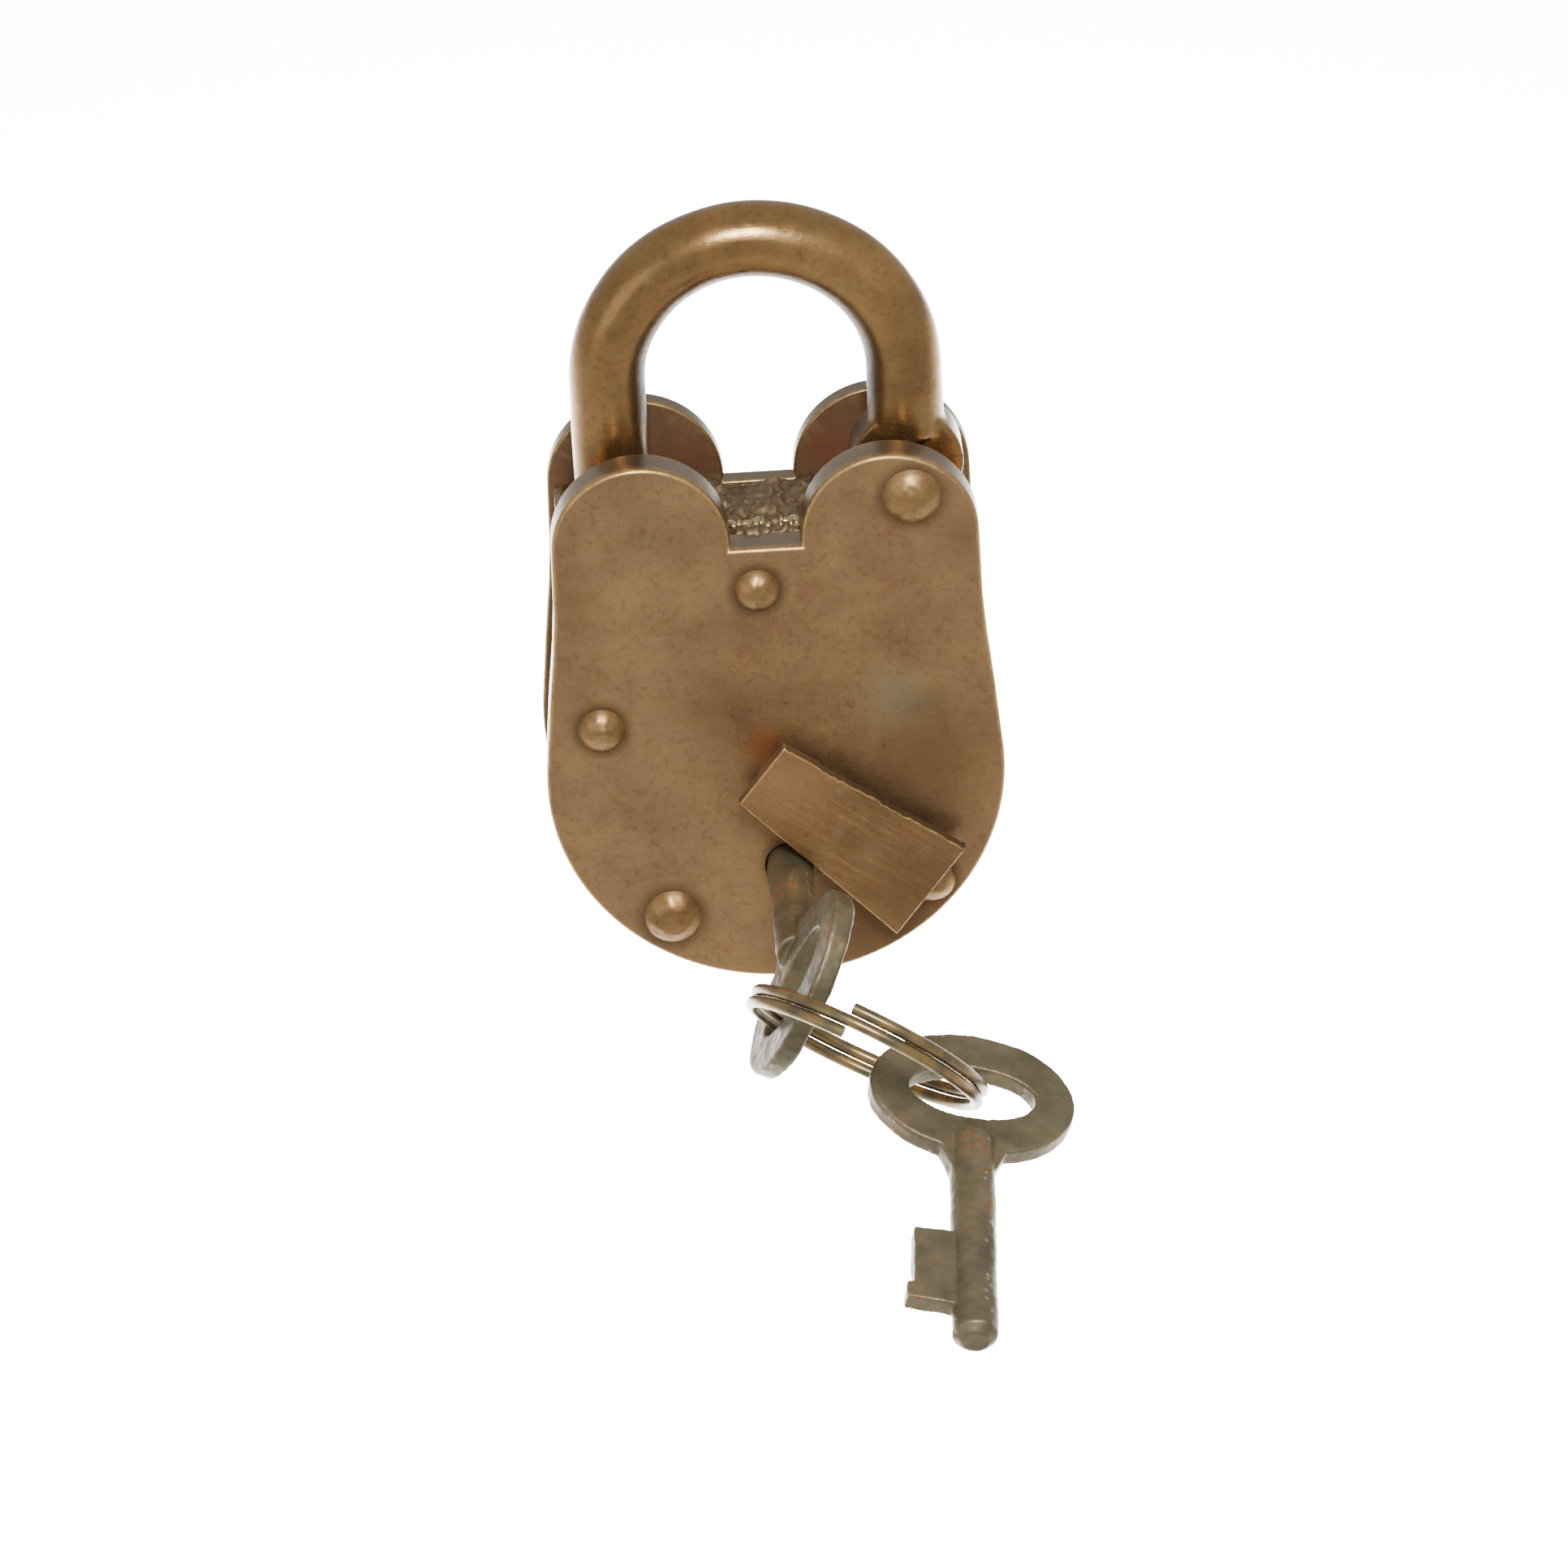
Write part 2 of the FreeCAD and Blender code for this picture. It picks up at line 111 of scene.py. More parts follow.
def antique_bronze(name, tone, light, edge, brush, patches=(), gloss=0.36, brushed=0.22, metal=0.88):
    """Steel plated bronze and darkened, then rubbed: brown with cloudy lighter parts, a fine
    brushed grain, edges rubbed through to gold where the rim attribute is high, and walls tinted
    grey where the side attribute is high, a painted reflection of the bright light overhead."""
    material, tree, shader, where = start_material(name)
    # Clouds of wear are about 11 mm across, stains 3.4 mm and specks 0.8 mm. Brush lines are
    # 7 mm long and 0.28 mm wide, wider than real ones so that they show.
    cloud = add(tree, "ShaderNodeTexNoise", {"Vector": where, "Scale": 1 / (11 * MM), "Detail": 4.0,
                                             "Roughness": 0.62})
    fine = add(tree, "ShaderNodeTexNoise", {"Vector": where, "Scale": 1 / (0.8 * MM), "Detail": 5.0,
                                            "Roughness": 0.6})
    stretch = add(tree, "ShaderNodeMapping", {"Vector": where, "Rotation": (0.0, brush, 0.0),
                                              "Scale": (1.0, 0.04, 0.04)},
                  vector_type="TEXTURE")
    grain = add(tree, "ShaderNodeTexNoise", {"Vector": stretch.outputs[0], "Scale": 1 / (7 * MM),
                                             "Detail": 3.0, "Roughness": 0.7})
    amount = add(tree, "ShaderNodeMapRange", {0: cloud.outputs[0], 1: 0.32, 2: 0.68})
    base = add(tree, "ShaderNodeMix", {0: amount.outputs[0], 6: linear(tone), 7: linear(light)},
               data_type="RGBA").outputs[2]
    speck = add(tree, "ShaderNodeMapRange", {0: fine.outputs[0], 1: 0.52, 2: 0.75, 4: 0.4})
    base = tint(tree, base, speck.outputs[0], "#4a3621")
    blotch = add(tree, "ShaderNodeTexNoise", {"Vector": where, "Scale": 1 / (3.4 * MM),
                                              "Detail": 3.0, "Roughness": 0.6, "Distortion": 0.6})
    stain = add(tree, "ShaderNodeMapRange", {0: blotch.outputs[0], 1: 0.54, 2: 0.72, 4: 0.3})
    base = tint(tree, base, stain.outputs[0], "#7d4f33")
    pale = add(tree, "ShaderNodeMapRange", {0: blotch.outputs[0], 1: 0.46, 2: 0.3, 4: 0.3})
    base = tint(tree, base, pale.outputs[0], "#8a7a55")
    streak = add(tree, "ShaderNodeMapRange", {0: grain.outputs[0], 1: 0.5, 2: 0.72, 4: brushed})
    base = tint(tree, base, streak.outputs[0], edge)
    dull = None
    for centre, inner, outer, ragged, colour, strength in patches:
        mask = patch(tree, where, centre, inner, outer, ragged, fine.outputs[0])
        part = add(tree, "ShaderNodeMath", {0: mask, 1: strength}, operation="MULTIPLY").outputs[0]
        base = tint(tree, base, part, colour)
        dull = part if dull is None else add(tree, "ShaderNodeMath", {0: dull, 1: part},
                                             operation="MAXIMUM").outputs[0]
    rim = add(tree, "ShaderNodeAttribute", attribute_name="rim")
    worn = add(tree, "ShaderNodeMath", {0: rim.outputs["Fac"], 1: fine.outputs[0]},
               operation="MULTIPLY")
    rubbed = add(tree, "ShaderNodeMapRange", {0: worn.outputs[0], 1: 0.3, 2: 0.62, 4: 0.8})
    base = tint(tree, base, rubbed.outputs[0], edge)
    # The side walls take a grey tint: a painted reflection of the bright light overhead.
    wall = add(tree, "ShaderNodeAttribute", attribute_name="side")
    wall_reflection = add(tree, "ShaderNodeMath", {0: wall.outputs["Fac"], 1: 0.75}, operation="MULTIPLY")
    base = tint(tree, base, wall_reflection.outputs[0], "#6d675b")
    tree.links.new(base, shader.inputs["Base Color"])
    rough = add(tree, "ShaderNodeMapRange", {0: cloud.outputs[0], 1: 0.3, 2: 0.7, 3: gloss - 0.05,
                                             4: gloss + 0.1}).outputs[0]
    if dull is not None:
        rough = add(tree, "ShaderNodeMath", {0: dull, 1: 0.3, 2: rough},
                    operation="MULTIPLY_ADD").outputs[0]
    tree.links.new(rough, shader.inputs["Roughness"])
    relief = add(tree, "ShaderNodeMath", {0: grain.outputs[0], 1: fine.outputs[0]})
    wave = add(tree, "ShaderNodeMath", {0: cloud.outputs[0], 1: 3.0, 2: relief.outputs[0]},
               operation="MULTIPLY_ADD")
    bump = add(tree, "ShaderNodeBump", {"Strength": 0.32, "Distance": 0.06 * MM,
                                        "Height": wave.outputs[0]})
    tree.links.new(bump.outputs[0], shader.inputs["Normal"])
    shader.inputs["Metallic"].default_value = metal
    return material


def arc(cx, cz, radius, start, end, steps):
    """Points along an arc, its angles in degrees from +X towards +Z."""
    turn = [math.radians(start + (end - start) * i / steps) for i in range(steps + 1)]
    return [(cx + radius * math.cos(a), cz + radius * math.sin(a)) for a in turn]


def body_outline(shrink=0.0):
    """The lock's outline, clockwise seen from the front, starting left of the notch."""
    lobe, belly = LOBE_R - shrink, BELLY_R - shrink
    dip = math.degrees(math.asin(LOBE_Z / lobe))
    foot = math.degrees(math.asin(BELLY_TOP / belly))
    right = arc(LOBE_X, LOBE_Z, lobe, 180 + dip, 0, 40)
    right += [(x - shrink, z) for x, z in SIDE]
    right += arc(0, BELLY_Z, belly, foot, -90, 40)
    left = [(-x, z) for x, z in reversed(right[:-1])]
    return right + left


def inset_line(line, distance):
    """The closed line moved inwards by a distance, for a line drawn clockwise."""
    moved = []
    for i, (x, z) in enumerate(line):
        before, after = line[i - 1], line[(i + 1) % len(line)]
        a = Vector((x - before[0], z - before[1])).normalized()
        b = Vector((after[0] - x, after[1] - z)).normalized()
        normal = Vector((a.y + b.y, -a.x - b.x))
        normal = normal.normalized() / max(0.55, normal.length / 2)
        moved.append((x + normal.x * distance, z + normal.y * distance))
    return moved


def finish_mesh(name, bm, rim=None, side=None):
    """Turns a bmesh into a shaded object with its rim and side attributes."""
    bmesh.ops.recalc_face_normals(bm, faces=bm.faces)
    mesh = bpy.data.meshes.new(name)
    bm.to_mesh(mesh)
    bm.free()
    for label, values in (("rim", rim), ("side", side)):
        if values is not None:
            layer = mesh.attributes.new(label, "FLOAT", "POINT")
            layer.data.foreach_set("value", values)
    mesh.shade_smooth()
    piece = bpy.data.objects.new(name, mesh)
    bpy.context.scene.collection.objects.link(piece)
    return piece


ROUND_STEPS = 4
LIP_DEEP, LIP_IN = 0.25, 0.2


def sawn_slab(name, line, y_front, y_back, front_round, back_round, holes=(), inner=(2.2, 1.1)):
    """A flat piece with this outline and these holes, its front and back edges filed round.
    The inner distances place rings on the faces that keep the edge wear narrow."""
    bm = bmesh.new()
    rim, side = [], []
    # Each ring is an inset, a depth, how far it counts as worn edge, and how much
    # of the painted grey wall reflection it takes.
    rings = [(inset, y_front, 0.0, 0.0) for inset in inner]
    for k in range(ROUND_STEPS + 1):
        a = math.pi / 2 * k / ROUND_STEPS
        rings.append((front_round * (1 - math.sin(a)), y_front + front_round * (1 - math.cos(a)),
                      1.0 if k > 0 else 0.3, 0.25 * (k > 2)))
    rings.append((0.0, y_front * 0.6 + y_back * 0.4, 0.0, 1.0))
    for k in range(ROUND_STEPS + 1):
        a = math.pi / 2 * k / ROUND_STEPS
        rings.append((back_round * (1 - math.cos(a)), y_back - back_round * (1 - math.sin(a)),
                      0.8, 0.5))
    rings += [(inset, y_back, 0.0, 0.0) for inset in reversed(inner)]
    made = []
    for inset, y, worn, wall in rings:
        points = inset_line(line, inset) if inset else line
        made.append([bm.verts.new(at(x, y, z)) for x, z in points])
        rim += [worn] * len(line)
        side += [wall] * len(line)
    for a, b in zip(made, made[1:]):
        for i in range(len(line)):
            j = (i + 1) % len(line)
            bm.faces.new((a[i], a[j], b[j], b[i]))
    caps = {"front": list(made[0]), "back": list(made[-1])}
    cap_edges = {cap: [bm.edges.get((v[i - 1], v[i])) for i in range(len(v))]
                 for cap, v in caps.items()}
    for hole in holes:
        front = [bm.verts.new(at(x, y_front, z)) for x, z in hole]
        narrow = inset_line(hole, LIP_IN)
        lip = [bm.verts.new(at(x, y_front + LIP_DEEP, z)) for x, z in narrow]
        back = [bm.verts.new(at(x, y_back, z)) for x, z in narrow]
        rim += [0.6] * len(hole) + [0.4] * len(hole) + [0.0] * len(hole)
        side += [0.0] * 3 * len(hole)
        for a, b in ((front, lip), (lip, back)):
            for i in range(len(hole)):
                bm.faces.new((a[i - 1], a[i], b[i], b[i - 1]))
        cap_edges["front"] += [bm.edges.get((front[i - 1], front[i])) for i in range(len(hole))]
        cap_edges["back"] += [bm.edges.get((back[i - 1], back[i])) for i in range(len(hole))]
    for edges in cap_edges.values():
        bmesh.ops.triangle_fill(bm, use_beauty=True, use_dissolve=False, edges=edges)
    piece = finish_mesh(name, bm, rim, side)
    weigh = piece.modifiers.new("Face weights", "WEIGHTED_NORMAL")
    weigh.weight = 90
    return piece


slot_top = math.sqrt(KEYHOLE_R ** 2 - SLOT_HALF ** 2)
slot_angle = math.degrees(math.asin(slot_top / KEYHOLE_R))
keyhole_line = arc(KEYHOLE[0], KEYHOLE[1], KEYHOLE_R, 180 + slot_angle, -slot_angle, 32)
keyhole_line += [(KEYHOLE[0] + SLOT_HALF, SLOT_LOW), (KEYHOLE[0] - SLOT_HALF, SLOT_LOW)]
# Hand grease and polish collect round each head; rust creeps from under the cover's collar,
# and a thin grey-green bloom lies on the right of the face. Broad darker patches on the right
# and lower right, at the lobes' outer sides and above the cover are painted shade. Each patch
# is a place, the radii in mm where it is full and where it ends, its raggedness, its colour
# and its strength.
GRIME, RUST, BLOOM, PAINTED_SHADE = "#2e2419", "#8f4414", "#75765c", "#5a4229"
# Each rivet is its place right and up, head radius, head height and shank radius, and then the
# grime round it: the radius where it is full, the radius where it ends, and its strength.
RIVETS = {"pivot_rivet": (18.0, 6.0, 3.65, 1.8, 2.4, (4.1, 5.8, 0.5)),
          "top_rivet": (-1.3, -5.6, 2.8, 1.6, 2.0, (3.3, 5.0, 0.6)),
          "left_rivet": (-21.2, -23.7, 2.9, 1.6, 2.0, (3.4, 5.1, 0.6)),
          "low_left_rivet": (-13.6, -50.4, 3.65, 1.9, 2.0, (4.1, 6.0, 0.5)),
          "low_right_rivet": (18.7, -47.4, 2.9, 1.6, 2.0, (3.4, 5.1, 0.5))}
front_patches = [((x, 0, z), full, end, 1.2, GRIME, strength)
                 for x, z, _, _, _, (full, end, strength) in RIVETS.values()]
# After the rust and the bloom come broad patches of painted shade, then grime round the keyhole.
front_patches += [((-1.4, 0, -27.0), 0.2, 6.4, 3.5, RUST, 0.75),
                  ((15.2, 0, -21.5), 1.0, 10.0, 5.0, BLOOM, 0.65),
                  ((19.5, 0, -30.0), 3.0, 16.0, 5.0, PAINTED_SHADE, 0.6),
                  ((11.0, 0, -50.0), 5.0, 19.0, 5.0, PAINTED_SHADE, 0.8),
                  ((-4.0, 0, -22.0), 2.0, 12.0, 5.0, PAINTED_SHADE, 0.3),
                  ((-24.0, 0, -6.0), 1.0, 9.0, 5.0, PAINTED_SHADE, 0.35),
                  ((24.0, 0, 0.0), 1.0, 8.0, 5.0, PAINTED_SHADE, 0.35),
                  ((KEYHOLE[0], 0, KEYHOLE[1]), 3.0, 5.0, 1.0, GRIME, 0.5)]
# Plated sheet, brushed and handled: a soft brown sheen, cloudy rather than streaked.
plate_bronze = antique_bronze("antique_bronze_plated_brushed_plate", "#84674a", "#9c7b53",
                              "#b8965c", 0.1, front_patches, brushed=0.08)
front = sawn_slab("front_plate_look", body_outline(), 0.0, FRONT_T, 0.6, 0.2, [keyhole_line])
front.data.materials.append(plate_bronze)
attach(front, "case")
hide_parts("front_plate")

# ---------------------------------------------------------------------------------------------
# Back plate: the same outline in thinner sheet. Its inner side was plated but never rubbed, so
# it stayed dark brown with rust in the corners; the outside is rubbed like the front.
back_y = FRONT_T + GAP
rust_corners = [((9, back_y, 4), 2.0, 8.0, 4.0, "#6b3517", 0.5),
                ((-9, back_y, 4), 2.0, 7.0, 4.0, "#6b3517", 0.4)]
# Outside, plated sheet left a little duller and more yellow than the front.
back_bronze = antique_bronze("antique_bronze_plated_sheet_rubbed", "#6f5638", "#84683f",
                             "#a58c5e", 0.1)
# Inside, dark plating that was never polished: nearly matt, with orange-brown corners.
inside_bronze = antique_bronze("dark_plating_inside_the_case", "#5c432e", "#6e5338", "#7c6144",
                               0.1, rust_corners, gloss=0.5, metal=0.45)
# The rivets' filed ends stand a hair above the plate, which shows them as faint discs.
REAR = back_y + BACK_T
TAIL_PROUD = 0.08
back = sawn_slab("back_plate_look", body_outline(), back_y, REAR - TAIL_PROUD, 0.35, 0.6)
back.data.materials.append(back_bronze)
back.data.materials.append(inside_bronze)
inner_plane = at(0, back_y, 0).y
for face in back.data.polygons:
    if abs(face.center.y - inner_plane) < 1e-5:
        face.material_index = 1
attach(back, "case")
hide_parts("back_plate")

# ---------------------------------------------------------------------------------------------
# Rim band: a strip of thin sheet bent on edge round the sides and belly between the plates,
# brazed to both. It stops below the lobes, so the shackle's leg can swing out.
BAND_T, BAND_INSET, BAND_TOP = 1.8, 0.8, 0.9
BAND_EDGE, BAND_X = 0.3, 26.1
BAND_FOOT = 5.0


def band_path(shrink):
    """The band's line from its right end round the belly to its left end."""
    right = [(BAND_X - shrink, BAND_TOP)] + [(x - shrink, z) for x, z in SIDE]
    right += arc(0, BELLY_Z, BELLY_R - shrink, BAND_FOOT, -90, 44)
    return right + [(-x, z) for x, z in reversed(right[:-1])]


bm = bmesh.new()
band_rims = []
loops = []
for shrink, y, worn in ((BAND_INSET, FRONT_T, 0.5), (BAND_INSET, FRONT_T + BAND_EDGE, 0.0),
                        (BAND_INSET, back_y - BAND_EDGE, 0.0), (BAND_INSET, back_y, 0.5),
                        (BAND_INSET + BAND_T, back_y, 0.0), (BAND_INSET + BAND_T, FRONT_T, 0.0)):
    path = band_path(shrink)
    loops.append([bm.verts.new(at(x, y, z)) for x, z in path])
    band_rims += [1.0 if i in (0, len(path) - 1) else worn for i in range(len(path))]
for a, b in zip(loops, loops[1:] + loops[:1]):
    for i in range(len(a) - 1):
        bm.faces.new((a[i], a[i + 1], b[i + 1], b[i]))
bm.faces.new([loop[0] for loop in loops])
bm.faces.new([loop[-1] for loop in reversed(loops)])
band = finish_mesh("rim_band_look", bm, band_rims)
band.modifiers.new("Face weights", "WEIGHTED_NORMAL").weight = 90
band.data.set_sharp_from_angle(angle=math.radians(50))
# Plated strip smeared with braze: duller, paler and more yellow than the plates.
band_bronze = antique_bronze("bronze_plated_strip_smeared_with_braze", "#6d5639", "#8a7550",
                             "#b0a078", 0.0, gloss=0.42)
band.data.materials.append(band_bronze)
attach(band, "case")
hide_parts("rim_band")

# ---------------------------------------------------------------------------------------------
# Saddle block: a filed iron casting brazed in under the notch, never polished. Its top is
# pitted, brown and rusty, and rises a little against the lobes at either end.


def worn_copy(name, node, grid, smooth, lumps=(), fade=None):
    """A copy of a solid with its edges softened and its skin made uneven. Each lump is a
    height and a spacing in mm; fade, if given, scales the lumps by place."""
    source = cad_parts[node]
    bm = bmesh.new()
    bm.from_mesh(source.data)
    bmesh.ops.remove_doubles(bm, verts=bm.verts, dist=1e-6)
    piece = finish_mesh(name + "_rough", bm)
    skin = piece.modifiers.new("Even skin", "REMESH")
    skin.mode, skin.voxel_size, skin.use_smooth_shade = "VOXEL", grid * MM, True
    soften = piece.modifiers.new("Soften", "SMOOTH")
    soften.factor, soften.iterations = 0.5, smooth
    bpy.context.view_layer.update()
    evaluated = piece.evaluated_get(bpy.context.evaluated_depsgraph_get())
    mesh = bpy.data.meshes.new_from_object(evaluated)
    bpy.data.objects.remove(piece)
    mesh.name = name
    places = [vertex.co.copy() for vertex in mesh.vertices]
    normals = [vertex.normal.copy() for vertex in mesh.vertices]
    for vertex, place, normal in zip(mesh.vertices, places, normals):
        push = sum(height * noise.noise(place / (spacing * MM)) for height, spacing in lumps)
        push *= fade(place) if fade else 1.0
        vertex.co = place + normal * push * MM
    mesh.shade_smooth()
    piece = bpy.data.objects.new(name, mesh)
    bpy.context.scene.collection.objects.link(piece)
    return piece


def rough_iron(name, iron, olive, rust, rust_from, gloss, pits, raised="#8d8467"):
    """Iron left as cast or filed: grey-olive and pitted, with patches of rust, dark hollows and
    raised edges rubbed paler."""
    material, tree, shader, where = start_material(name)
    # The colour drifts over about 6 mm, and the pits are 0.9 mm apart.
    broad = add(tree, "ShaderNodeTexNoise", {"Vector": where, "Scale": 1 / (6 * MM), "Detail": 5.0,
                                             "Roughness": 0.6})
    pit = add(tree, "ShaderNodeTexNoise", {"Vector": where, "Scale": 1 / (0.9 * MM), "Detail": 6.0,
                                           "Roughness": 0.65})
    curve = add(tree, "ShaderNodeNewGeometry").outputs["Pointiness"]
    amount = add(tree, "ShaderNodeMapRange", {0: broad.outputs[0], 1: 0.35, 2: 0.65})
    base = add(tree, "ShaderNodeMix", {0: amount.outputs[0], 6: linear(iron), 7: linear(olive)},
               data_type="RGBA").outputs[2]
    both = add(tree, "ShaderNodeMath", {0: broad.outputs[0], 1: pit.outputs[0]},
               operation="MULTIPLY")
    rusty = add(tree, "ShaderNodeMapRange", {0: both.outputs[0], 1: rust_from,
                                             2: rust_from + 0.09, 4: 0.85})
    base = tint(tree, base, rusty.outputs[0], rust)
    high = add(tree, "ShaderNodeMapRange", {0: curve, 1: 0.52, 2: 0.6, 4: 0.75})
    base = tint(tree, base, high.outputs[0], raised)
    low = add(tree, "ShaderNodeMapRange", {0: curve, 1: 0.48, 2: 0.4, 4: 0.7})
    base = tint(tree, base, low.outputs[0], "#2b231a")
    tree.links.new(base, shader.inputs["Base Color"])
    rough = add(tree, "ShaderNodeMapRange", {0: pit.outputs[0], 3: gloss, 4: gloss + 0.25})
    tree.links.new(rough.outputs[0], shader.inputs["Roughness"])
    bump = add(tree, "ShaderNodeBump", {"Strength": pits, "Distance": 0.12 * MM,
                                        "Height": pit.outputs[0]})
    tree.links.new(bump.outputs[0], shader.inputs["Normal"])
    shader.inputs["Metallic"].default_value = 0.7
    return material


def top_only(place):
    """Full roughness on the saddle's top, nearly none below it."""
    return 1.0 if place.z > at(0, 0, -0.6).z else 0.1


saddle = worn_copy("saddle_block_look", "saddle_block", 0.2, 2, ((0.7, 2.6), (0.5, 0.9)), top_only)
# Cast iron, filed and rusting: pits that catch the light, brown hollows and pale peaks.
saddle_iron = rough_iron("cast_iron_filed_and_rusting", "#57452f", "#77654b", "#5e3318", 0.3, 0.42,
                         0.8, "#9a8a6c")
saddle.data.materials.append(saddle_iron)
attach(saddle, "case")
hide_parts("saddle_block")

# ---------------------------------------------------------------------------------------------
# Braze beads: drops of brass left in a row along the saddle where it was brazed. Each froze as
# a small shiny lump, no two the same size.
BEADS, BEAD_R, BEAD_SPREAD = 36, 0.74, 0.8
BEAD_ROW_Y, BEAD_ROW_LEFT, BEAD_ROW_RIGHT = 6.9, -4.6, 4.9
bead_tree = bpy.data.node_groups.new("Row of braze beads", "GeometryNodeTree")
bead_tree.interface.new_socket("Geometry", in_out="INPUT", socket_type="NodeSocketGeometry")
count_in = bead_tree.interface.new_socket("Beads", in_out="INPUT", socket_type="NodeSocketInt")
size_in = bead_tree.interface.new_socket("Bead radius", in_out="INPUT", socket_type="NodeSocketFloat")
spread_in = bead_tree.interface.new_socket("Spread", in_out="INPUT", socket_type="NodeSocketFloat")
bead_tree.interface.new_socket("Geometry", in_out="OUTPUT", socket_type="NodeSocketGeometry")
# Brass braze that froze as drops: pale yellow, mirror-bright in points.
braze, tree, shader, where = start_material("brass_braze_frozen_in_drops")
drop_noise = add(tree, "ShaderNodeTexNoise", {"Vector": where, "Scale": 1 / (0.6 * MM)})
drop_colour = add(tree, "ShaderNodeMix", {0: drop_noise.outputs[0], 6: linear("#8a7246"),
                                          7: linear("#d9c79a")}, data_type="RGBA")
tree.links.new(drop_colour.outputs[2], shader.inputs["Base Color"])
shader.inputs["Metallic"].default_value = 0.95
shader.inputs["Roughness"].default_value = 0.26
inlet = add(bead_tree, "NodeGroupInput")
line = add(bead_tree, "GeometryNodeMeshLine", {
    "Count": inlet.outputs["Beads"], "Start Location": at(BEAD_ROW_LEFT, BEAD_ROW_Y, 0),
    "Offset": at(BEAD_ROW_RIGHT, BEAD_ROW_Y, 0)}, mode="END_POINTS")
jitter = add(bead_tree, "FunctionNodeRandomValue", {0: (-1.0, -1.0, -0.15), 1: (1.0, 1.0, 0.15),
                                                    "Seed": 4}, data_type="FLOAT_VECTOR")
shift = add(bead_tree, "ShaderNodeVectorMath", {0: jitter.outputs[0],
                                                "Scale": inlet.outputs["Spread"]},
            operation="SCALE")
moved = add(bead_tree, "GeometryNodeSetPosition", {"Geometry": line.outputs[0],
                                                   "Offset": shift.outputs[0]})
ball = add(bead_tree, "GeometryNodeMeshIcoSphere", {"Radius": inlet.outputs["Bead radius"],
                                                    "Subdivisions": 3})
smooth = add(bead_tree, "GeometryNodeSetShadeSmooth", {0: ball.outputs[0]})
sizes = add(bead_tree, "FunctionNodeRandomValue", {0: (0.5, 0.5, 0.35), 1: (1.3, 1.1, 0.8),
                                                   "Seed": 9}, data_type="FLOAT_VECTOR")
placed = add(bead_tree, "GeometryNodeInstanceOnPoints", {"Points": moved.outputs[0],
                                                         "Instance": smooth.outputs[0],
                                                         "Scale": sizes.outputs[0]})
real = add(bead_tree, "GeometryNodeRealizeInstances", {0: placed.outputs[0]})
coated = add(bead_tree, "GeometryNodeSetMaterial", {0: real.outputs[0], "Material": braze})
add(bead_tree, "NodeGroupOutput", {0: coated.outputs[0]})


def grow(name, group, values):
    """Runs a Geometry Nodes tree with these input values and returns its result as a piece."""
    holder = bpy.data.objects.new(name + "_seed", bpy.data.meshes.new(name + "_seed"))
    bpy.context.scene.collection.objects.link(holder)
    modifier = holder.modifiers.new("Grow", "NODES")
    modifier.node_group = group
    for socket, value in values:
        modifier[socket.identifier] = value
    bpy.context.view_layer.update()
    evaluated = holder.evaluated_get(bpy.context.evaluated_depsgraph_get())
    mesh = bpy.data.meshes.new_from_object(evaluated)
    bpy.data.objects.remove(holder)
    piece = bpy.data.objects.new(name, mesh)
    bpy.context.scene.collection.objects.link(piece)
    return piece


beads = grow("braze_beads_look", bead_tree, ((count_in, BEADS), (size_in, BEAD_R * MM),
                                             (spread_in, BEAD_SPREAD * MM)))
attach(beads, "case")
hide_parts("braze_beads")

# ---------------------------------------------------------------------------------------------
# Shackle: a forged steel rod bent to an arch. One end is beaten to an eye on the pivot, the
# other is filed back where it swings past the case. Plated bronze, handled to a soft shine.
MID_Y = FRONT_T + GAP / 2
# Painted shade inside the arch and on the left leg where it enters the case; the right leg by the
# shoulder is a little darker, and the left leg's outer side low down is browner.
shackle_patches = [((0, MID_Y, 18.2), 14.4, 17.6, 1.5, "#20180f", 0.92),
                   ((-15.4, MID_Y, 4.0), 3.0, 13.0, 4.0, "#33271a", 0.8),
                   ((15.4, MID_Y, 8.0), 3.0, 9.0, 4.0, "#3d2e1d", 0.4),
                   ((-19.0, 7.0, 6.0), 2.0, 9.0, 4.0, "#5b3c22", 0.5)]
# Plated rod, handled smooth: a satin brown with warm highlights, the inside of the arch and
# the left leg where it enters the case darkened with painted shade.
shackle_bronze = antique_bronze("antique_bronze_plated_forged_rod", "#765a39", "#957347", "#b4925c",
                                0.0, shackle_patches, gloss=0.25, brushed=0.08)
shackle = worn_copy("shackle_look", "shackle", 0.36, 4, ((0.09, 8.0), (0.02, 2.5)))
rims = shackle.data.attributes.new("rim", "FLOAT", "POINT")
# The shoulder's edge by the pivot is rubbed to gold.
crescent = at(18.1, 7.0, 9.6)
CRESCENT_R = 3.4
rims.data.foreach_set("value", [max(0.0, 1 - (v.co - crescent).length / (CRESCENT_R * MM))
                                for v in shackle.data.vertices])
shackle.data.materials.append(shackle_bronze)
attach(shackle, "shackle_body")
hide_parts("shackle")

# ---------------------------------------------------------------------------------------------
# Rivets: five soft steel pins driven through both plates and hammered to low domes in front;
# the back ends are filed flush. The hammer left small flats, and rubbing left the tops bright.
HAMMER_DENT = 0.16
SHANK_CLEAR = 0.2
TAIL_SPREAD, TAIL_END_SPREAD = 0.25, 0.12
FLAT_CROWN, ROUND_CROWN = 0.45, 0.12
# Plated steel, hammered: a brown dome with a rubbed, brighter crown.
rivet_bronze = antique_bronze("antique_bronze_plated_hammered_rivet", "#7d6140", "#96754a",
                              "#bd955c", 0.0, gloss=0.36)


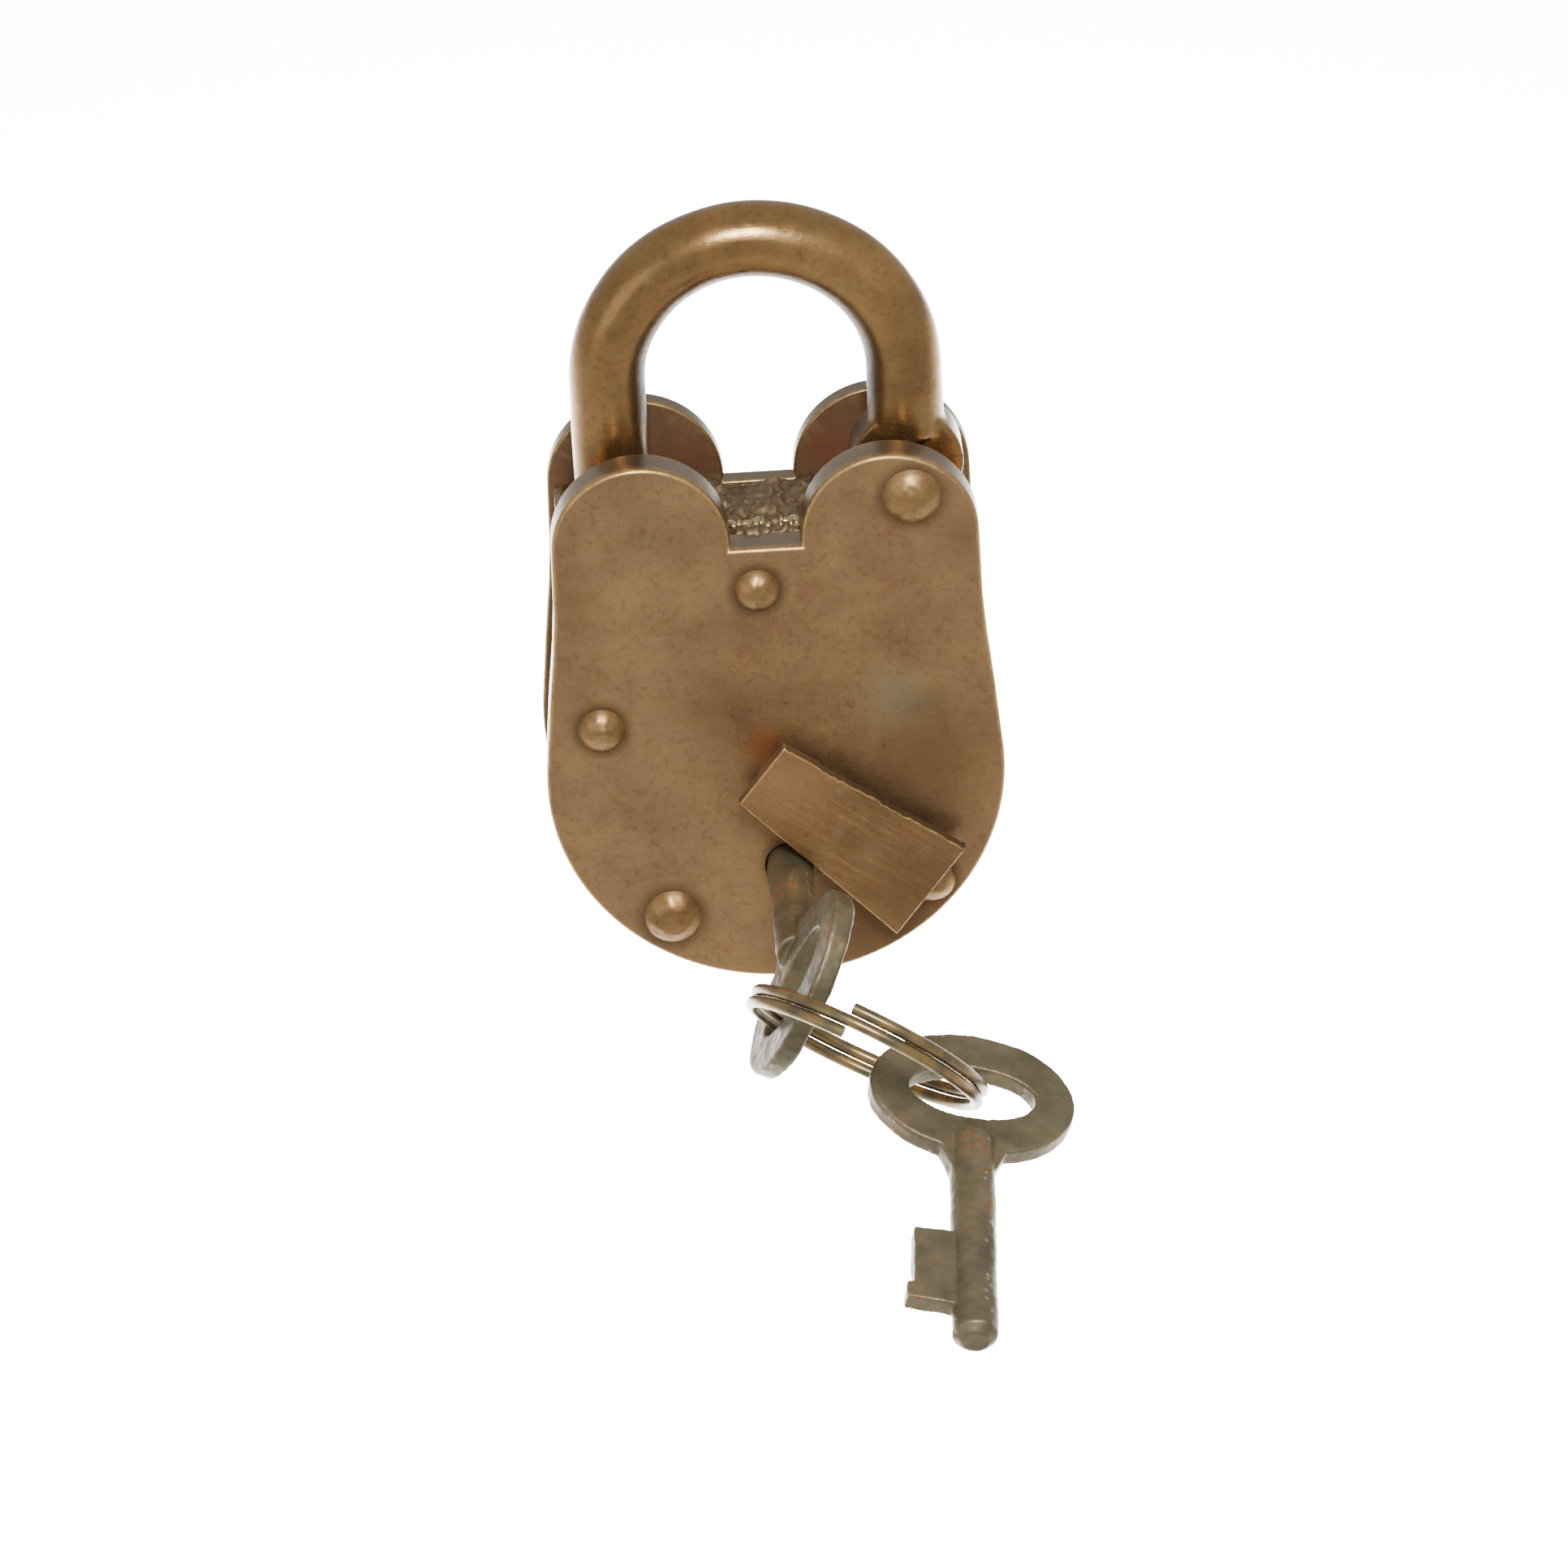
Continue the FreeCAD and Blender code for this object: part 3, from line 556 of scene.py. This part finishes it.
def lathe(name, centre, profile, turns=56, hammer=0.0, seed=0.0):
    """A turned piece about the lock's Y axis from (radius, depth, rim) steps, mm."""
    bm = bmesh.new()
    rim = []
    rings = []
    for radius, y, worn in profile:
        ring = []
        for i in range(turns):
            a = 2 * math.pi * i / turns
            dent = hammer * noise.noise(Vector((math.cos(a) * radius, math.sin(a) * radius, seed)))
            x = centre[0] + (radius + dent * 0.4) * math.cos(a)
            z = centre[1] + (radius + dent * 0.4) * math.sin(a)
            ring.append(bm.verts.new(at(x, y + (dent if worn else 0.0), z)))
            rim.append(worn)
        rings.append(ring)
    for a, b in zip(rings, rings[1:]):
        for i in range(turns):
            bm.faces.new((a[i - 1], a[i], b[i], b[i - 1]))
    bm.faces.new(rings[0])
    bm.faces.new(list(reversed(rings[-1])))
    return finish_mesh(name, bm, rim)


for number, (node, (x, z, head, height, shank, _)) in enumerate(RIVETS.items()):
    ball = (head * head + height * height) / (2 * height)
    flat = FLAT_CROWN if node == "low_left_rivet" else ROUND_CROWN
    steps = [flat + (1 - flat) * k / 9 for k in range(10)]
    crown = [(head * s, ball - height - math.sqrt(ball ** 2 - (head * s) ** 2), 0.55 - 0.3 * s)
             for s in steps]
    crown.append((head * 0.99, 0.0, 0.1))
    thin = shank - SHANK_CLEAR
    profile = crown + [(thin, 0.0, 0.0), (thin, back_y + 0.5, 0.0),
                       (shank + TAIL_SPREAD, REAR - TAIL_PROUD, 0.0),
                       (shank + TAIL_END_SPREAD, REAR, 0.0)]
    rivet = lathe(node + "_look", (x, z), profile, hammer=HAMMER_DENT, seed=number * 3.1)
    rivet.data.set_sharp_from_angle(angle=math.radians(40))
    rivet.data.materials.append(rivet_bronze)
    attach(rivet, "case")
    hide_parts(node)

# ---------------------------------------------------------------------------------------------
# Keyhole cover: a tapering flat bar that hangs from a pin at its narrow end and swings over the
# keyhole. Sheared from sheet, brushed along its length; the sheared top edge was left jagged.
COVER_T, COVER_OFF = 1.8, 2.4
COVER_CORNERS = ((1.0, -25.4), (22.8, -40.9), (13.9, -52.4), (-4.8, -32.8))
SHEARED_STEPS, PLAIN_STEPS = 46, 14
BITE, SAG = 0.45, 0.05
cover_line = []
for i, start in enumerate(COVER_CORNERS):
    end = COVER_CORNERS[(i + 1) % 4]
    steps = SHEARED_STEPS if i == 0 else PLAIN_STEPS
    for k in range(steps):
        t = k / steps
        x, z = start[0] + (end[0] - start[0]) * t, start[1] + (end[1] - start[1]) * t
        bite = BITE * abs(noise.noise(Vector((x * 1.9, z * 1.9, 0.3)))) if i == 0 and k else 0.0
        sag = SAG * noise.noise(Vector((x * 0.3, z * 0.3, 4.0)))
        cover_line.append((x - bite * 0.5 + sag, z - bite * 0.85 + sag))
(left_x, left_z), (right_x, right_z) = COVER_CORNERS[:2]
along_bar = math.atan2(left_z - right_z, right_x - left_x)
# The first patch pales the bar's upper end; the second darkens its lower end with painted shade.
cover_patches = [((0.5, -4.2, -31.0), 2.0, 13.0, 4.0, "#a98059", 0.6),
                 ((17.0, -4.2, -45.5), 3.0, 13.0, 4.0, PAINTED_SHADE, 0.55)]
# Plated bar brushed along its length: fine light streaks, paler at the upper end.
cover_bronze = antique_bronze("antique_bronze_plated_brushed_bar", "#785b3d", "#8c6c48", "#cda566",
                              along_bar, cover_patches, gloss=0.36, brushed=0.2)
cover = sawn_slab("keyhole_cover_look", cover_line, -COVER_OFF - COVER_T, -COVER_OFF, 0.2, 0.2,
                  inner=(0.42,))
cover.data.materials.append(cover_bronze)
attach(cover, "cover")
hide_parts("keyhole_cover")

# ---------------------------------------------------------------------------------------------
# Cover pin and collar: the pin is brazed flush into the cover and spread behind the front
# plate; the collar is a turned washer that holds the cover off the plate.
PIN = (1.1, -31.7)
PIN_R, PIN_HEAD_R, COLLAR_R, COLLAR_BORE, COLLAR_T = 1.5, 2.6, 3.0, 1.56, 2.1
PIN_HEAD_Y, PIN_END_Y = 4.8, 5.6
pin = lathe("cover_pin_look", PIN, [(PIN_R, -COVER_OFF - COVER_T + 0.04, 0.0),
                                    (PIN_R, PIN_HEAD_Y, 0.0), (PIN_HEAD_R, PIN_HEAD_Y, 0.0),
                                    (PIN_HEAD_R, PIN_END_Y, 0.0)], 32)
collar = lathe("cover_collar_look", PIN, [(COLLAR_BORE, -COLLAR_T, 0.0), (COLLAR_R, -COLLAR_T, 0.3),
                                          (COLLAR_R, 0.0, 0.0), (COLLAR_BORE, 0.0, 0.0)], 40)
for piece, body, node in ((pin, "cover", "cover_pin"), (collar, "case", "cover_collar")):
    piece.data.set_sharp_from_angle(angle=math.radians(40))
    piece.data.materials.append(cover_bronze)
    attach(piece, body)
    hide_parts(node)

# ---------------------------------------------------------------------------------------------
# Keys: two cast iron keys, an oval bow and a round shank with a flat bit, fettled by hand. The
# skin is dull grey-olive with rust in the corners and pale rubbed edges.
KEY_GRID, KEY_LUMPS = 0.2, ((0.16, 4.0), (0.06, 1.0))
# Cast iron, fettled and handled: low shine, darker in the hollows than on the worn edges.
key_iron = rough_iron("cast_iron_key_fettled_and_handled", "#5c543f", "#776d53", "#94511f", 0.31,
                      0.36, 0.35, "#a2947a")
for node, body in (("key_in_lock", "lock_key"), ("spare_key", "spare")):
    key = worn_copy(node + "_look", node, KEY_GRID, 4, KEY_LUMPS)
    key.data.materials.append(key_iron)
    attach(key, body)
    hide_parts(node)

# ---------------------------------------------------------------------------------------------
# Split ring: two turns of round spring wire, wound so that they almost touch, its ends cut with
# nippers. Bronze plated and unevenly rubbed; the keys' bows hang on it.
RING_R, WIRE_R, RING_PITCH = 14.75, 0.74, 1.55
RING_TURNS = 2
ring_centre = at(8.323, -41.5747, -46.536)
ring_right = Vector((0.8535, -0.4656, -0.2341)).normalized()
ring_near = Vector((-0.1977, -0.7049, 0.6812))
ring_near = (ring_near - ring_right * ring_near.dot(ring_right)).normalized()
ring_axis = ring_right.cross(ring_near)
# Plated spring wire, rubbed: brown-gold where handled and grey-olive where not.
ring_wire, tree, shader, where = start_material("bronze_plated_spring_wire_rubbed")
wire_noise = add(tree, "ShaderNodeTexNoise", {"Vector": where, "Scale": 1 / (2.5 * MM),
                                              "Detail": 4.0})
wire_mix = add(tree, "ShaderNodeMapRange", {0: wire_noise.outputs[0], 1: 0.38, 2: 0.62})
wire_colour = add(tree, "ShaderNodeMix", {0: wire_mix.outputs[0], 6: linear("#6a614a"),
                                          7: linear("#927951")}, data_type="RGBA")
tree.links.new(wire_colour.outputs[2], shader.inputs["Base Color"])
shader.inputs["Metallic"].default_value = 0.9
shader.inputs["Roughness"].default_value = 0.33
coil_tree = bpy.data.node_groups.new("Coil of wire", "GeometryNodeTree")
coil_tree.interface.new_socket("Geometry", in_out="INPUT", socket_type="NodeSocketGeometry")
turns_in = coil_tree.interface.new_socket("Turns", in_out="INPUT", socket_type="NodeSocketFloat")
coil_in = coil_tree.interface.new_socket("Coil radius", in_out="INPUT",
                                         socket_type="NodeSocketFloat")
wire_in = coil_tree.interface.new_socket("Wire radius", in_out="INPUT",
                                         socket_type="NodeSocketFloat")
rise_in = coil_tree.interface.new_socket("Rise", in_out="INPUT", socket_type="NodeSocketFloat")
coil_tree.interface.new_socket("Geometry", in_out="OUTPUT", socket_type="NodeSocketGeometry")
inlet = add(coil_tree, "NodeGroupInput")
coil = add(coil_tree, "GeometryNodeCurveSpiral", {
    "Resolution": 120, "Rotations": inlet.outputs["Turns"],
    "Start Radius": inlet.outputs["Coil radius"], "End Radius": inlet.outputs["Coil radius"],
    "Height": inlet.outputs["Rise"]})
section = add(coil_tree, "GeometryNodeCurvePrimitiveCircle", {"Resolution": 18,
                                                              "Radius": inlet.outputs["Wire radius"]})
tube = add(coil_tree, "GeometryNodeCurveToMesh", {"Curve": coil.outputs[0],
                                                  "Profile Curve": section.outputs[0],
                                                  "Fill Caps": True})
round_off = add(coil_tree, "GeometryNodeSetShadeSmooth", {0: tube.outputs[0]})
real = add(coil_tree, "GeometryNodeRealizeInstances", {0: round_off.outputs[0]})
coated = add(coil_tree, "GeometryNodeSetMaterial", {0: real.outputs[0], "Material": ring_wire})
add(coil_tree, "NodeGroupOutput", {0: coated.outputs[0]})
ring = grow("split_ring_look", coil_tree, ((turns_in, float(RING_TURNS)), (coil_in, RING_R * MM),
                                           (wire_in, WIRE_R * MM),
                                           (rise_in, RING_TURNS * RING_PITCH * MM)))
# The coil is turned so that its cut ends lie where the strand splits, then laid in place.
START = math.radians(88.0)
for vertex in ring.data.vertices:
    a = START + math.atan2(vertex.co.y, vertex.co.x)
    r = math.hypot(vertex.co.x, vertex.co.y)
    up = vertex.co.z - RING_TURNS / 2 * RING_PITCH * MM
    vertex.co = (ring_centre + ring_right * r * math.cos(a) + ring_near * r * math.sin(a)
                 + ring_axis * up)
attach(ring, "ring")
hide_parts("split_ring")

# ---------------------------------------------------------------------------------------------
# Works inside the case: bolt, levers, their post and strip springs, guide posts and the pivot's
# spacers. Plain mild steel, oiled and never plated; they keep their solid shapes.
WORKS = ("bolt", "lever_one", "lever_two", "lever_post", "lever_springs", "guide_posts",
         "pivot_spacers")
# Oiled mild steel: plain grey with a low shine and a few darker patches.
works_steel, tree, shader, where = start_material("mild_steel_sheared_and_oiled")
works_noise = add(tree, "ShaderNodeTexNoise", {"Vector": where, "Scale": 1 / (3 * MM)})
works_colour = add(tree, "ShaderNodeMix", {0: works_noise.outputs[0], 6: linear("#4a4641"),
                                           7: linear("#7b766d")}, data_type="RGBA")
tree.links.new(works_colour.outputs[2], shader.inputs["Base Color"])
shader.inputs["Metallic"].default_value = 0.9
shader.inputs["Roughness"].default_value = 0.42
for node in WORKS:
    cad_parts[node].data.materials.clear()
    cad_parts[node].data.materials.append(works_steel)

# ---------------------------------------------------------------------------------------------
# Floor, light and camera: a plain pale floor well below the hanging lock in an even white room.
# A small soft light stands above in front and a weak one on the left; one behind the lock is
# turned away from it and lights only the far floor.
FLOOR_Z = -0.75
bm = bmesh.new()
for x, y in ((-6, -4), (6, -4), (6, 12), (-6, 12)):
    bm.verts.new((x, y, FLOOR_Z))
bm.faces.new(bm.verts)
floor = finish_mesh("floor", bm)
# Matt white paint with no shine, so that the floor shows only light.
floor_paint, tree, shader, where = start_material("matt_white_painted_floor")
shader.inputs["Base Color"].default_value = linear("#ffffff")
shader.inputs["Roughness"].default_value = 0.9
shader.inputs["Specular IOR Level"].default_value = 0.0
floor.data.materials.append(floor_paint)

world = bpy.data.worlds.new("white_room")
world.use_nodes = True
world.node_tree.nodes["Background"].inputs["Color"].default_value = (1.0, 1.0, 1.0, 1.0)
world.node_tree.nodes["Background"].inputs["Strength"].default_value = 0.75
bpy.context.scene.world = world


def soft_light(name, place, aim, width, power):
    """A square soft light at a place, turned to the point it aims at."""
    lamp = bpy.data.lights.new(name, "AREA")
    lamp.size, lamp.energy = width, power
    holder = bpy.data.objects.new(name, lamp)
    holder.location = place
    holder.rotation_euler = (Vector(aim) - Vector(place)).to_track_quat("-Z", "Y").to_euler()
    bpy.context.scene.collection.objects.link(holder)


soft_light("key_light", (0.0, -0.66, 0.60), (0, 0, -0.02), 0.17, 11.0)
soft_light("fill_light", (-0.7, -0.6, 0.15), (0, 0, -0.04), 0.5, 1.0)
soft_light("floor_light", (0, 0.9, 0.45), (0, 1.6, -0.25), 0.7, 430.0)

# The view is from the front, 28.5 degrees above level, and turned 2.65 degrees clockwise.
RIGHT = Vector((0.998, -0.048, -0.0406)).normalized()
AWAY = Vector((-0.023, -0.8785, 0.477)).normalized()
UP = AWAY.cross(RIGHT).normalized()
RIGHT = UP.cross(AWAY)
DISTANCE, LENS = 1.2, 223.6
AIM = at(0.875, 0.0, -32.6)
camera = bpy.data.objects.new("camera", bpy.data.cameras.new("camera"))
camera.data.lens, camera.data.sensor_width = LENS, 36.0
camera.rotation_mode = "QUATERNION"
camera.rotation_quaternion = Matrix((RIGHT, UP, AWAY)).transposed().to_quaternion()
camera.location = AIM + AWAY * DISTANCE
bpy.context.scene.collection.objects.link(camera)
bpy.context.scene.camera = camera
